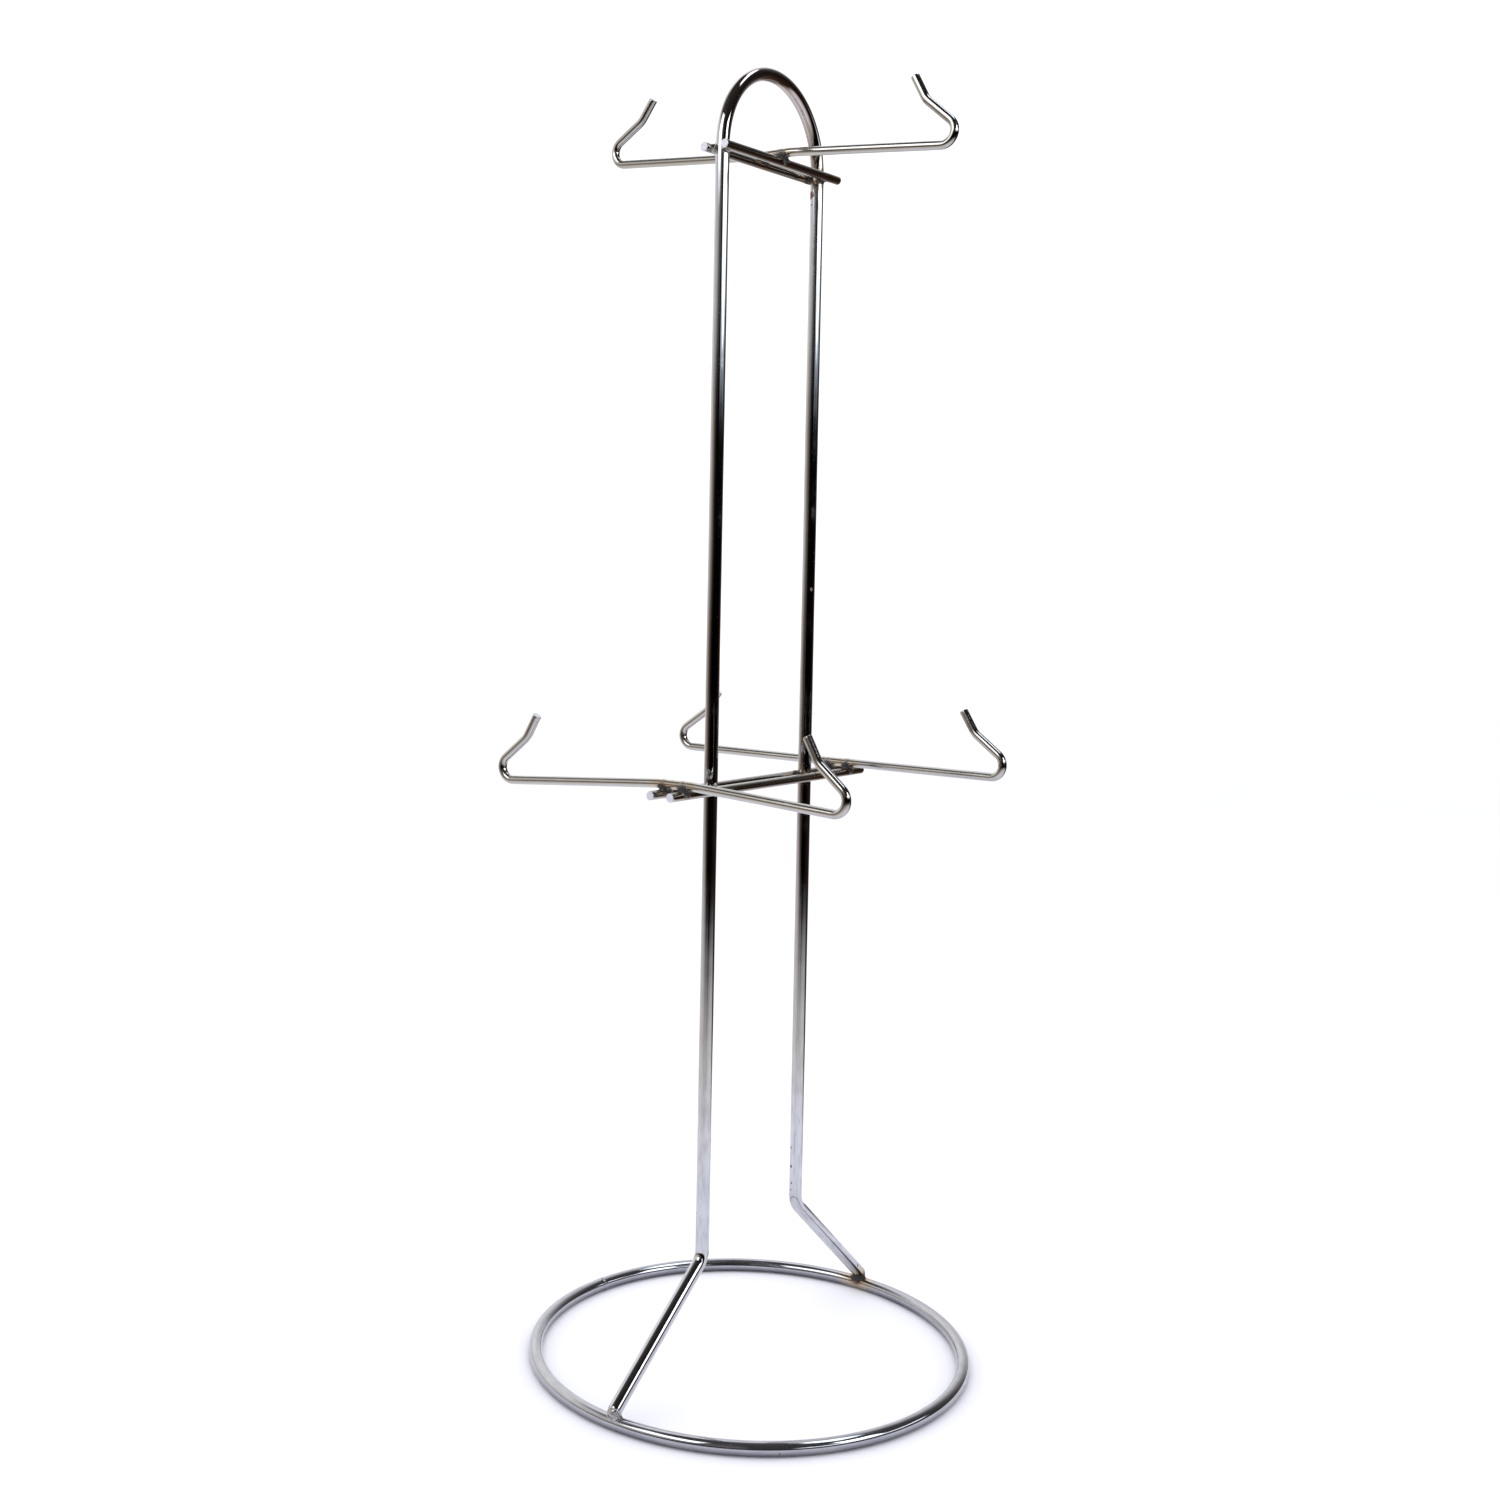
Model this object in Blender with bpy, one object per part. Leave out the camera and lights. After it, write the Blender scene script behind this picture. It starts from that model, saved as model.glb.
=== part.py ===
"""Counter-top wire display rack, chrome-plated steel, welded from nine pieces of round wire.

A wire ring lies on the counter. One long wire is bent into a tall narrow arch whose two
legs splay out and land on the ring. Two tiers of straight rods clamp the uprights from
both sides, and hook wires lie across the rods with an upturned hook at each end.
Nothing turns or slides: every crossing is welded.

Axes: X runs along the arch's own plane, Y across it, Z up. The origin is the centre of
the ring on the counter. Lengths are in metres.
"""

import math

import bmesh
import bpy
from mathutils import Matrix, Vector

# Driving dimensions
FRAME_WIRE = 0.00635  # diameter of the ring wire and of the arch wire
TIER_WIRE = 0.0041  # diameter of the rods and of the hook wires
FIT_GAP = 0.0003  # air between two pieces that touch
RING_RADIUS = 0.1016  # centre line of the ring
UPRIGHT_SPACING = 0.0779  # between the centre lines of the uprights
SPRING_HEIGHT = 0.5630  # where the uprights run into the round top
LEG_BEND_RADIUS = 0.009
FOOT_REACH = 0.1020  # from the middle to the end of each leg
FOOT_HEIGHT = 0.0083
NEAR_LEG_BEND_HEIGHT = 0.0577
FAR_LEG_BEND_HEIGHT = 0.0627

TOP_TIER_HEIGHT = 0.5622  # centre line of the top rods
TOP_ROD_LENGTH = 0.0940
TOP_ROD_SHIFT = 0.0015  # the rods are welded on a little off centre
MIDDLE_TIER_HEIGHT = 0.2746
MIDDLE_ROD_LENGTH = 0.1595
MIDDLE_ROD_SHIFT = 0.0027

ARM_REACH = 0.1060  # from the middle of a hook wire to the sharp corner of its lower bend
LEVEL_HALF = 0.0090  # half of the straight part that lies across both rods
RETURN_LENGTH = 0.0340  # from the lower corner back to the upper bend
RETURN_RISE = 36.0  # degrees
TIP_LENGTH = 0.0122
TIP_RISE = 57.5  # degrees
LOWER_BEND_RADIUS = 0.0060
UPPER_BEND_RADIUS = 0.0100

# Each hook wire: node name, tier height, place along X, shift along Y, and for its rear
# and front arm the sweep towards +X and the rise, both in degrees.
HOOK_WIRES = (
    ("top_hook_wire", TOP_TIER_HEIGHT, 0.0012, 0.0015, (0.3, 4.3), (2.4, -4.4)),
    ("middle_hook_wire_near", MIDDLE_TIER_HEIGHT, -0.0663, 0.0036, (-3.9, -3.5), (-1.6, -3.6)),
    ("middle_hook_wire_far", MIDDLE_TIER_HEIGHT, 0.0698, 0.0011, (-2.4, 1.0), (-2.5, -0.1)),
)

WIRE_COLOUR = (0.78, 0.79, 0.81)
WELD_COLOUR = (0.42, 0.40, 0.38)

WELD_ALONG = 0.0030  # half the length of a bead on a crossing
WELD_HEIGHT = 0.0017  # half its height across the crossing
FOOT_WELD_SIZE = (0.0034, 0.0044, 0.0022)

WIRE_SIDES = 12
RING_STEPS = 72
ARCH_STEPS = 28
BEND_STEP = 14.0  # degrees turned between two sections of a bend

UP = Vector((0, 0, 1))
ALONG_Y = Vector((0, 1, 0))
ROD_OFFSET = FRAME_WIRE / 2 + FIT_GAP + TIER_WIRE / 2
HOOK_WIRE_RISE = TIER_WIRE + FIT_GAP  # from a rod's centre line to the hook wire's
UPRIGHT_X = UPRIGHT_SPACING / 2


def clear_scene():
    for old in list(bpy.data.objects):
        bpy.data.objects.remove(old, do_unlink=True)


def plated(name, colour, roughness):
    """A chrome-plated metal of one colour."""
    material = bpy.data.materials.new(name)
    material.use_nodes = True
    surface = material.node_tree.nodes["Principled BSDF"]
    surface.inputs["Base Color"].default_value = (*colour, 1.0)
    surface.inputs["Metallic"].default_value = 1.0
    surface.inputs["Roughness"].default_value = roughness
    return material


def add_object(name, mesh_data, location, colour=WIRE_COLOUR, roughness=0.12):
    """Turns a closed bmesh into a named object with its own material."""
    bmesh.ops.recalc_face_normals(mesh_data, faces=mesh_data.faces[:])
    mesh = bpy.data.meshes.new(name)
    mesh_data.to_mesh(mesh)
    mesh_data.free()
    mesh.materials.append(plated(name, colour, roughness))
    made = bpy.data.objects.new(name, mesh)
    made.location = location
    bpy.context.scene.collection.objects.link(made)
    return made


def rounded(points, radii):
    """The points of a polyline with its inner corners rounded to the given radii."""
    path = [Vector(points[0])]
    for before, corner, after, radius in zip(points, points[1:], points[2:], radii):
        corner = Vector(corner)
        back = (Vector(before) - corner).normalized()
        ahead = (Vector(after) - corner).normalized()
        half_angle = back.angle(ahead) / 2
        setback = radius / math.tan(half_angle)
        centre = corner + (back + ahead).normalized() * (radius / math.sin(half_angle))
        start = corner + back * setback - centre
        finish = corner + ahead * setback - centre
        turned = start.angle(finish)
        steps = max(1, math.ceil(math.degrees(turned) / BEND_STEP))
        axis = start.cross(finish).normalized()
        for step in range(steps + 1):
            path.append(centre + Matrix.Rotation(turned * step / steps, 3, axis) @ start)
    path.append(Vector(points[-1]))
    return path


def section(centre, tangent, side, radius, stretch):
    """Corners of a wire's section: a regular polygon with flats facing side and across it."""
    across = tangent.cross(side).normalized()
    side = across.cross(tangent).normalized()
    corner_radius = radius / math.cos(math.pi / WIRE_SIDES)
    corners = []
    for index in range(WIRE_SIDES):
        angle = 2 * math.pi * (index + 0.5) / WIRE_SIDES
        offset = across * (math.cos(angle) * stretch) + side * math.sin(angle)
        corners.append(centre + offset * corner_radius)
    return corners


def wire_mesh(path, sides, diameter, closed=False):
    """A round wire along a path. sides holds, for each point, the normal of its bend."""
    count = len(path)
    rings = []
    wire = bmesh.new()
    for index, point in enumerate(path):
        before = path[index - 1] if closed or index else None
        after = path[(index + 1) % count] if closed or index < count - 1 else None
        arriving = (point - before).normalized() if before else (after - point).normalized()
        leaving = (after - point).normalized() if after else arriving
        tangent = (arriving + leaving).normalized()
        stretch = 1 / tangent.dot(leaving)
        corners = section(point, tangent, sides[index], diameter / 2, stretch)
        rings.append([wire.verts.new(corner) for corner in corners])
    joined = list(zip(rings, rings[1:] + rings[:1])) if closed else list(zip(rings, rings[1:]))
    for first, second in joined:
        for index in range(WIRE_SIDES):
            other = (index + 1) % WIRE_SIDES
            wire.faces.new((first[index], first[other], second[other], second[index]))
    if not closed:
        wire.faces.new(rings[0])
        wire.faces.new(rings[-1])
    return wire


def planar_wire(name, path, side, diameter, location, closed=False):
    wire = wire_mesh(path, [side] * len(path), diameter, closed)
    return add_object(name, wire, location)


def ring_path():
    path = []
    for step in range(RING_STEPS):
        angle = 2 * math.pi * step / RING_STEPS
        path.append(Vector((math.cos(angle), math.sin(angle), 0)) * RING_RADIUS)
    return path


def rod_path(length):
    return [Vector((-length / 2, 0, 0)), Vector((length / 2, 0, 0))]


def leg_path(direction, bend_height):
    """From the foot up to the upright, on the side of the given direction along X."""
    points = (
        (direction * FOOT_REACH, 0, FOOT_HEIGHT),
        (direction * UPRIGHT_X, 0, bend_height),
        (direction * UPRIGHT_X, 0, SPRING_HEIGHT),
    )
    return rounded(points, (LEG_BEND_RADIUS,))


def frame_path():
    """Foot, leg, upright, round top, upright, leg, foot: one unbroken wire."""
    path = leg_path(-1, NEAR_LEG_BEND_HEIGHT)
    for step in range(1, ARCH_STEPS):
        angle = math.pi * (1 - step / ARCH_STEPS)
        x = UPRIGHT_X * math.cos(angle)
        z = SPRING_HEIGHT + UPRIGHT_X * math.sin(angle)
        path.append(Vector((x, 0, z)))
    return path + leg_path(1, FAR_LEG_BEND_HEIGHT)[::-1]


def arm_path(start, towards_y, reach, sweep, rise):
    """One arm from the level middle out to its hook's tip, and the normal of its plane."""
    sweep = math.radians(sweep)
    outward = Vector((math.sin(sweep), towards_y * math.cos(sweep), 0))
    rise = math.radians(rise)

    def at(along, height):
        """A point of the hook's own plane, turned up by the arm's rise."""
        run = along * math.cos(rise) - height * math.sin(rise)
        lift = along * math.sin(rise) + height * math.cos(rise)
        return start + outward * run + UP * lift

    return_rise = math.radians(RETURN_RISE)
    tip_rise = math.radians(TIP_RISE)
    bend_along = reach - RETURN_LENGTH * math.cos(return_rise)
    bend_height = RETURN_LENGTH * math.sin(return_rise)
    tip_along = bend_along - TIP_LENGTH * math.cos(tip_rise)
    tip_height = bend_height + TIP_LENGTH * math.sin(tip_rise)
    points = (start, at(reach, 0), at(bend_along, bend_height), at(tip_along, tip_height))
    path = rounded(points, (LOWER_BEND_RADIUS, UPPER_BEND_RADIUS))
    return path, outward.cross(UP) * towards_y


def hook_wire(name, location, shift, rear, front):
    """A wire with a hook at both ends, level where it lies across the two rods."""
    reach = ARM_REACH - LEVEL_HALF
    rear_start = ALONG_Y * LEVEL_HALF
    front_start = ALONG_Y * -LEVEL_HALF
    rear_path, rear_side = arm_path(rear_start, 1, reach + shift, *rear)
    front_path, front_side = arm_path(front_start, -1, reach - shift, *front)
    path = front_path[::-1] + rear_path
    sides = [front_side] * len(front_path) + [rear_side] * len(rear_path)
    return add_object(name, wire_mesh(path, sides, TIER_WIRE), location)


def cutter(name, path, side, diameter, location, closed=False):
    """A wire grown by the fit gap, kept out of the part and used only to cut with."""
    made = planar_wire(name, path, side, diameter + 2 * FIT_GAP, location, closed)
    made.hide_render = True
    made.display_type = "WIRE"
    return made


def cut(body, tools):
    for tool in tools:
        change = body.modifiers.new(tool.name, "BOOLEAN")
        change.operation = "DIFFERENCE"
        change.solver = "EXACT"
        change.object = tool


def weld_bead(name, centre, half_sizes, tilt, tools):
    """A squashed bead around a crossing, cut back to the surfaces of both wires."""
    bead = bmesh.new()
    bmesh.ops.create_uvsphere(bead, u_segments=14, v_segments=8, radius=1.0)
    bead.transform(Matrix.Diagonal((*half_sizes, 1.0)))
    made = add_object(name, bead, centre, WELD_COLOUR, 0.35)
    made.rotation_euler.y = tilt
    cut(made, tools)


clear_scene()

# Ring and arch wire; the feet are notched over the ring
ring_place = Vector((0, 0, FRAME_WIRE / 2))
middle = Vector((0, 0, 0))
planar_wire("base_ring", ring_path(), UP, FRAME_WIRE, ring_place, closed=True)
frame_wire = planar_wire("frame_wire", frame_path(), ALONG_Y, FRAME_WIRE, middle)
ring_cutter = cutter("cut_ring", ring_path(), UP, FRAME_WIRE, ring_place, closed=True)
frame_cutter = cutter("cut_frame", frame_path(), ALONG_Y, FRAME_WIRE, middle)
cut(frame_wire, [ring_cutter])

# Rods on both sides of the uprights, with a bead on every upright
TIERS = (
    ("top", TOP_TIER_HEIGHT, TOP_ROD_LENGTH, TOP_ROD_SHIFT),
    ("middle", MIDDLE_TIER_HEIGHT, MIDDLE_ROD_LENGTH, MIDDLE_ROD_SHIFT),
)
UPRIGHT_WELD = (WELD_ALONG, WELD_HEIGHT, WELD_ALONG)
rod_cutters = {}
for tier, height, length, shift in TIERS:
    for face, towards in (("front", -1), ("rear", 1)):
        place = Vector((shift, towards * ROD_OFFSET, height))
        planar_wire(f"{tier}_rod_{face}", rod_path(length), ALONG_Y, TIER_WIRE, place)
        tool = cutter(f"cut_{tier}_{face}", rod_path(2 * length), ALONG_Y, TIER_WIRE, place)
        rod_cutters[tier, face] = tool
        for leg, side in (("near", -1), ("far", 1)):
            contact = towards * (FRAME_WIRE + FIT_GAP) / 2
            centre = Vector((side * UPRIGHT_X, contact, height))
            name = f"weld_{tier}_rod_{face}_{leg}_upright"
            weld_bead(name, centre, UPRIGHT_WELD, 0.0, [frame_cutter, tool])

# Hook wires on top of the rods, with a bead on every rod
LEVEL_PATH = [ALONG_Y * -LEVEL_HALF, ALONG_Y * LEVEL_HALF]
ROD_WELD = (WELD_ALONG, WELD_ALONG, WELD_HEIGHT)
for name, height, place, shift, rear, front in HOOK_WIRES:
    location = Vector((place, 0, height + HOOK_WIRE_RISE))
    hook_wire(name, location, shift, rear, front)
    tool = cutter(f"cut_{name}", LEVEL_PATH, UP, TIER_WIRE, location)
    tier = name.split("_")[0]
    for face, towards in (("front", -1), ("rear", 1)):
        centre = Vector((place, towards * ROD_OFFSET, height + HOOK_WIRE_RISE / 2))
        tools = [tool, rod_cutters[tier, face]]
        weld_bead(f"weld_{name}_{face}_rod", centre, ROD_WELD, 0.0, tools)

# Feet: a bead in the wedge between each leg's end and the ring
for leg, side, bend_height in (
    ("near", -1, NEAR_LEG_BEND_HEIGHT),
    ("far", 1, FAR_LEG_BEND_HEIGHT),
):
    slope = math.atan2(bend_height - FOOT_HEIGHT, FOOT_REACH - UPRIGHT_X)
    centre = Vector((side * (RING_RADIUS - 0.0004), 0, FRAME_WIRE - 0.0002))
    tools = [ring_cutter, frame_cutter]
    weld_bead(f"weld_{leg}_foot", centre, FOOT_WELD_SIZE, side * slope / 2, tools)
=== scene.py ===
"""The looks of the wire counter display rack: chrome-plated wires, their welds, stage and light."""
import math
from collections import namedtuple

import bmesh
import bpy
import numpy as np
from mathutils import Matrix, Vector, noise


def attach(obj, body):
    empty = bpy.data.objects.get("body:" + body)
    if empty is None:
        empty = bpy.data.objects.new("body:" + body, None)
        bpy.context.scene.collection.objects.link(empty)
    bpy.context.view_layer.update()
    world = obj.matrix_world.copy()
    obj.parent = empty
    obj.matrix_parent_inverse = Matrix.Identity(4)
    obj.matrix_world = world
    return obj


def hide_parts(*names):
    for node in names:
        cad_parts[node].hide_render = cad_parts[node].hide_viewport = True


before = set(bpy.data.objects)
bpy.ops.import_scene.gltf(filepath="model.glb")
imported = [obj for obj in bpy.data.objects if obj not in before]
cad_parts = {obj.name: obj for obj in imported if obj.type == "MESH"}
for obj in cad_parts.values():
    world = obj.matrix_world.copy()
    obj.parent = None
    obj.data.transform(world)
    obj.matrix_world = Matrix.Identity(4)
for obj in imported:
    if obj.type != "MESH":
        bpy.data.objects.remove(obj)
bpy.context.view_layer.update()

# The rack's own dimensions, the same as in the CAD source, in metres
FRAME_RADIUS = 0.003175  # the ring wire and the arch wire
TIER_RADIUS = 0.00205  # the rods and the hook wires
FIT_GAP = 0.0003
RING_RADIUS = 0.1016
UPRIGHT_X = 0.03895
SPRING_HEIGHT = 0.5630
LEG_BEND_RADIUS = 0.009
FOOT_REACH = 0.1020
FOOT_HEIGHT = 0.0083
LEG_BEND_HEIGHT = {"near": 0.0577, "far": 0.0627}
SIDE_OF_X = {"near": -1, "far": 1}
SIDE_OF_Y = {"front": -1, "rear": 1}

# A tier: height of its rods' centre line, rod length, shift of the rods along X
Tier = namedtuple("Tier", "height length shift")
TIERS = {"top": Tier(0.5622, 0.0940, 0.0015), "middle": Tier(0.2746, 0.1595, 0.0027)}
ROD_OFFSET = FRAME_RADIUS + FIT_GAP + TIER_RADIUS
HOOK_WIRE_RISE = 2 * TIER_RADIUS + FIT_GAP

ARM_REACH = 0.1060
LEVEL_HALF = 0.0090
RETURN_LENGTH = 0.0340
RETURN_RISE = math.radians(36.0)
TIP_LENGTH = 0.0122
TIP_RISE = math.radians(57.5)
LOWER_BEND_RADIUS = 0.0060
UPPER_BEND_RADIUS = 0.0100
KINK_RADIUS = 0.0300  # soft bend where an arm leaves the level middle

# A hook wire: tier, place along X, shift along Y, then for the rear and the front arm
# the sweep towards +X and the rise, in degrees
HookWire = namedtuple("HookWire", "tier x shift rear front")
HOOK_WIRES = {
    "top_hook_wire": HookWire("top", 0.0012, 0.0015, (0.3, 4.3), (2.4, -4.4)),
    "middle_hook_wire_near": HookWire("middle", -0.0663, 0.0036, (-3.9, -3.5), (-1.6, -3.6)),
    "middle_hook_wire_far": HookWire("middle", 0.0698, 0.0011, (-2.4, 1.0), (-2.5, -0.1)),
}

ALONG_X = Vector((1, 0, 0))
ALONG_Y = Vector((0, 1, 0))
UP = Vector((0, 0, 1))
RING_CENTRE = Vector((0, 0, FRAME_RADIUS))

# Fineness of the swept wires
BEND_STEP = math.radians(3.0)
STATION_SPACING = 0.0016
HOOK_STATION_SPACING = 0.0012
FRAME_SIDES = 44
TIER_SIDES = 36

# How far from perfect the wires are
WANDER_SEED = 7
WANDER = 0.00005  # how far a wire strays from its line
WANDER_LENGTH = 0.041
BEND_SQUEEZE = 0.11  # flattening across a bend, per unit of curvature times radius
BEND_SWELL = 0.035  # and the swelling to its sides
SHARPEST_CURVE = 0.5
BEND_REACH = 4  # stations over which a bend's squeeze is evened out

noise.seed_set(WANDER_SEED)  # vector noise would otherwise start from the clock


# ------------ wires

def rounded(points, radii):
    """The points of a polyline with its inner corners rounded to the given radii."""
    path = [Vector(points[0])]
    for before, corner, after, radius in zip(points, points[1:], points[2:], radii):
        corner = Vector(corner)
        back = (Vector(before) - corner).normalized()
        ahead = (Vector(after) - corner).normalized()
        half_angle = back.angle(ahead) / 2
        setback = radius / math.tan(half_angle)
        centre = corner + (back + ahead).normalized() * (radius / math.sin(half_angle))
        start = corner + back * setback - centre
        finish = corner + ahead * setback - centre
        turned = start.angle(finish)
        steps = max(2, math.ceil(turned / BEND_STEP))
        axis = start.cross(finish).normalized()
        for step in range(steps + 1):
            path.append(centre + Matrix.Rotation(turned * step / steps, 3, axis) @ start)
    path.append(Vector(points[-1]))
    return path


def subdivided(path, spacing=STATION_SPACING):
    """Adds points to the long straight stretches of a path."""
    fine = [path[0]]
    for start, finish in zip(path, path[1:]):
        pieces = max(1, math.ceil((finish - start).length / spacing - 1e-6))
        for piece in range(1, pieces + 1):
            fine.append(start.lerp(finish, piece / pieces))
    return fine


class Sweep:
    """Stations along a wire: places, frames, distance run and bend, worked out once."""

    def __init__(self, path, first_side, closed=False):
        self.closed = closed
        self.points = path
        count = len(path)
        self.tangents = []
        for index in range(count):
            before = path[index - 1] if closed or index else path[index]
            after = path[(index + 1) % count] if closed or index < count - 1 else path[index]
            self.tangents.append((after - before).normalized())
        self.run = [0.0]
        for start, finish in zip(path, path[1:]):
            self.run.append(self.run[-1] + (finish - start).length)
        self.length = self.run[-1] + ((path[0] - path[-1]).length if closed else 0.0)
        side = first_side - self.tangents[0] * first_side.dot(self.tangents[0])
        self.sides = [side.normalized()]
        for before, after in zip(self.tangents, self.tangents[1:]):
            turn = before.rotation_difference(after)
            side = turn @ self.sides[-1]
            side -= after * side.dot(after)
            self.sides.append(side.normalized())
        # A hoop is rolled evenly, so its section stays round
        self.bends = [Vector()] * count if closed else self.smooth_bends()

    def smooth_bends(self):
        """The curvature vector at each station, averaged over its neighbours."""
        count = len(self.points)
        raw = []
        for index in range(count):
            before = self.tangents[max(index - 1, 0)]
            after = self.tangents[min(index + 1, count - 1)]
            near = self.points[max(index - 1, 0)]
            far = self.points[min(index + 1, count - 1)]
            raw.append((after - before) / max((far - near).length, 1e-6))
        smooth = []
        for index in range(count):
            window = raw[max(0, index - BEND_REACH): index + BEND_REACH + 1]
            smooth.append(sum(window, Vector()) / len(window))
        return smooth


def sweep_mesh(sweep, radius, sides, girth=None, seed=0.0):
    """A round wire: a bit oval in its bends, a bit uneven along its line, with cut ends.

    girth gives the change of radius at a distance along the wire.
    """
    wire = bmesh.new()
    layer = wire.loops.layers.uv.new("wire")
    cut = wire.verts.layers.float.new("cut")
    count = len(sweep.points)
    rings = []
    for index in range(count):
        tangent = sweep.tangents[index]
        side = sweep.sides[index]
        across = tangent.cross(side)
        bend = sweep.bends[index]
        curve = min(bend.length * radius, SHARPEST_CURVE)
        towards = bend.normalized() if bend.length > 1e-6 else side
        run = sweep.run[index]
        swell = girth(run) if girth else 0.0
        drift = Vector()
        if not sweep.closed:
            drift = noise.noise_vector(Vector((run / WANDER_LENGTH, seed, 3.7))) * WANDER
        ring = []
        for corner in range(sides):
            angle = math.tau * corner / sides
            offset = across * math.cos(angle) + side * math.sin(angle)
            inward = offset.dot(towards)
            flat = 1 - curve * (BEND_SQUEEZE * inward * inward - BEND_SWELL)
            ring.append(wire.verts.new(sweep.points[index] + drift + offset * (radius * flat + swell)))
        rings.append(ring)
    spans = range(count) if sweep.closed else range(count - 1)
    for index in spans:
        first = rings[index]
        second = rings[(index + 1) % count]
        start = sweep.run[index]
        finish = sweep.run[index + 1] if index < count - 1 else sweep.length
        for corner in range(sides):
            other = (corner + 1) % sides
            face = wire.faces.new((first[corner], first[other], second[other], second[corner]))
            low = math.tau * radius * corner / sides
            high = math.tau * radius * (corner + 1) / sides
            places = ((low, start), (high, start), (high, finish), (low, finish))
            for loop, place in zip(face.loops, places):
                loop[layer].uv = place
    if not sweep.closed:
        cap_end(wire, cut, rings[0], -sweep.tangents[0], radius, seed)
        cap_end(wire, cut, rings[-1], sweep.tangents[-1], radius, seed + OTHER_END)
    bmesh.ops.recalc_face_normals(wire, faces=wire.faces[:])
    return wire


# A cropped end, in shares of the wire's radius: distance from the middle and depth below the
# end plane, from rim to middle
END_PROFILE = ((0.985, 0.055), (0.94, 0.015), (0.88, 0.0), (0.7, 0.004), (0.45, 0.010), (0.2, 0.012))
END_EDGE = 0.13  # depth at which the rounded edge starts
END_MIDDLE = 0.013
END_EDGE_WIDTH = 0.12
END_TILT = 0.10
END_ROUGHNESS = 0.036
END_ROUGHNESS_SCALE = 900.0
OTHER_END = 5.0  # step between the seeds of a wire's two ends


def cap_end(wire, cut, rim, outward, radius, seed):
    """Closes a wire's end with a cropped face: a small rounded edge and an uneven flat."""
    centre = sum((vert.co for vert in rim), Vector()) / len(rim)
    tilt = noise.noise_vector(Vector((seed, 9.1, 2.3))) * END_TILT
    offsets = [vert.co - centre for vert in rim]
    for vert in rim:
        vert.co = vert.co - outward * (END_EDGE * radius)
    before = rim
    count = len(rim)
    for share, depth in END_PROFILE:
        ring = []
        for offset in offsets:
            place = centre + offset * share
            rough = noise.noise(place * END_ROUGHNESS_SCALE) * END_ROUGHNESS * (1 - share)
            lean = offset.dot(tilt) * share
            ring.append(wire.verts.new(place - outward * (radius * (depth + rough) - lean)))
            ring[-1][cut] = min(1.0, (1 - share) / END_EDGE_WIDTH)
        for corner in range(count):
            other = (corner + 1) % count
            wire.faces.new((before[corner], before[other], ring[other], ring[corner]))
        before = ring
    middle = wire.verts.new(centre - outward * (radius * END_MIDDLE))
    middle[cut] = 1.0
    for corner in range(count):
        wire.faces.new((before[corner], before[(corner + 1) % count], middle))


def make_object(name, shape, material):
    """An object in the scene with the shape of a bmesh, which is used up."""
    mesh = bpy.data.meshes.new(name)
    shape.to_mesh(mesh)
    shape.free()
    mesh.shade_smooth()
    mesh.materials.append(material)
    made = bpy.data.objects.new(name, mesh)
    bpy.context.scene.collection.objects.link(made)
    return made


def finish_piece(name, shape, material, nodes, sharp=50.0):
    """Makes a piece of the rack that stands for its CAD nodes.

    Edges that turn by more than sharp degrees stay sharp.
    """
    piece = make_object(name, shape, material)
    piece.data.set_sharp_from_angle(angle=math.radians(sharp))
    paint_heat(piece.data)
    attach(piece, "root")
    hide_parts(*nodes)


# ------------ welds and their heat

# How dark the scale is at a weld, and how far from it the metal got hot
# The near-black scale at the hook welds and at the far foot is partly real weld scale and partly painted
# shade, standing for the shade under the wires where they meet.
HOOK_SCALE_AND_SHADE = (0.90, 0.0056)
FOOT_SCALE_AND_SHADE = {"near": (0.34, 0.0044), "far": (1.00, 0.0072)}
UPRIGHT_SCORCH = {
    ("top", "near"): (0.15, 0.0045),
    ("top", "far"): (0.65, 0.0085),
    ("middle", "near"): (0.45, 0.0055),
    ("middle", "far"): (0.70, 0.0070),
}
SCALE_REACH = 0.62  # how far the scale and the tint reach, as shares of the hot distance
TINT_REACH = 1.45

# How big the bead of a weld is, against a rod's bead on an upright
HOOK_BEAD_SIZE = 1.25
FOOT_BEAD_SIZE = {"near": 1.05, "far": 1.12}
FOOT_BEAD_INSET = 0.0004  # from the ring's centre line towards the middle

# A straight wire: a point on it, its direction, its radius
Line = namedtuple("Line", "point direction radius")
# A weld: its middle, the two wires that it joins (None stands for the ring), scorch and bead size
Weld = namedtuple("Weld", "contact first second scorch size")


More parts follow.
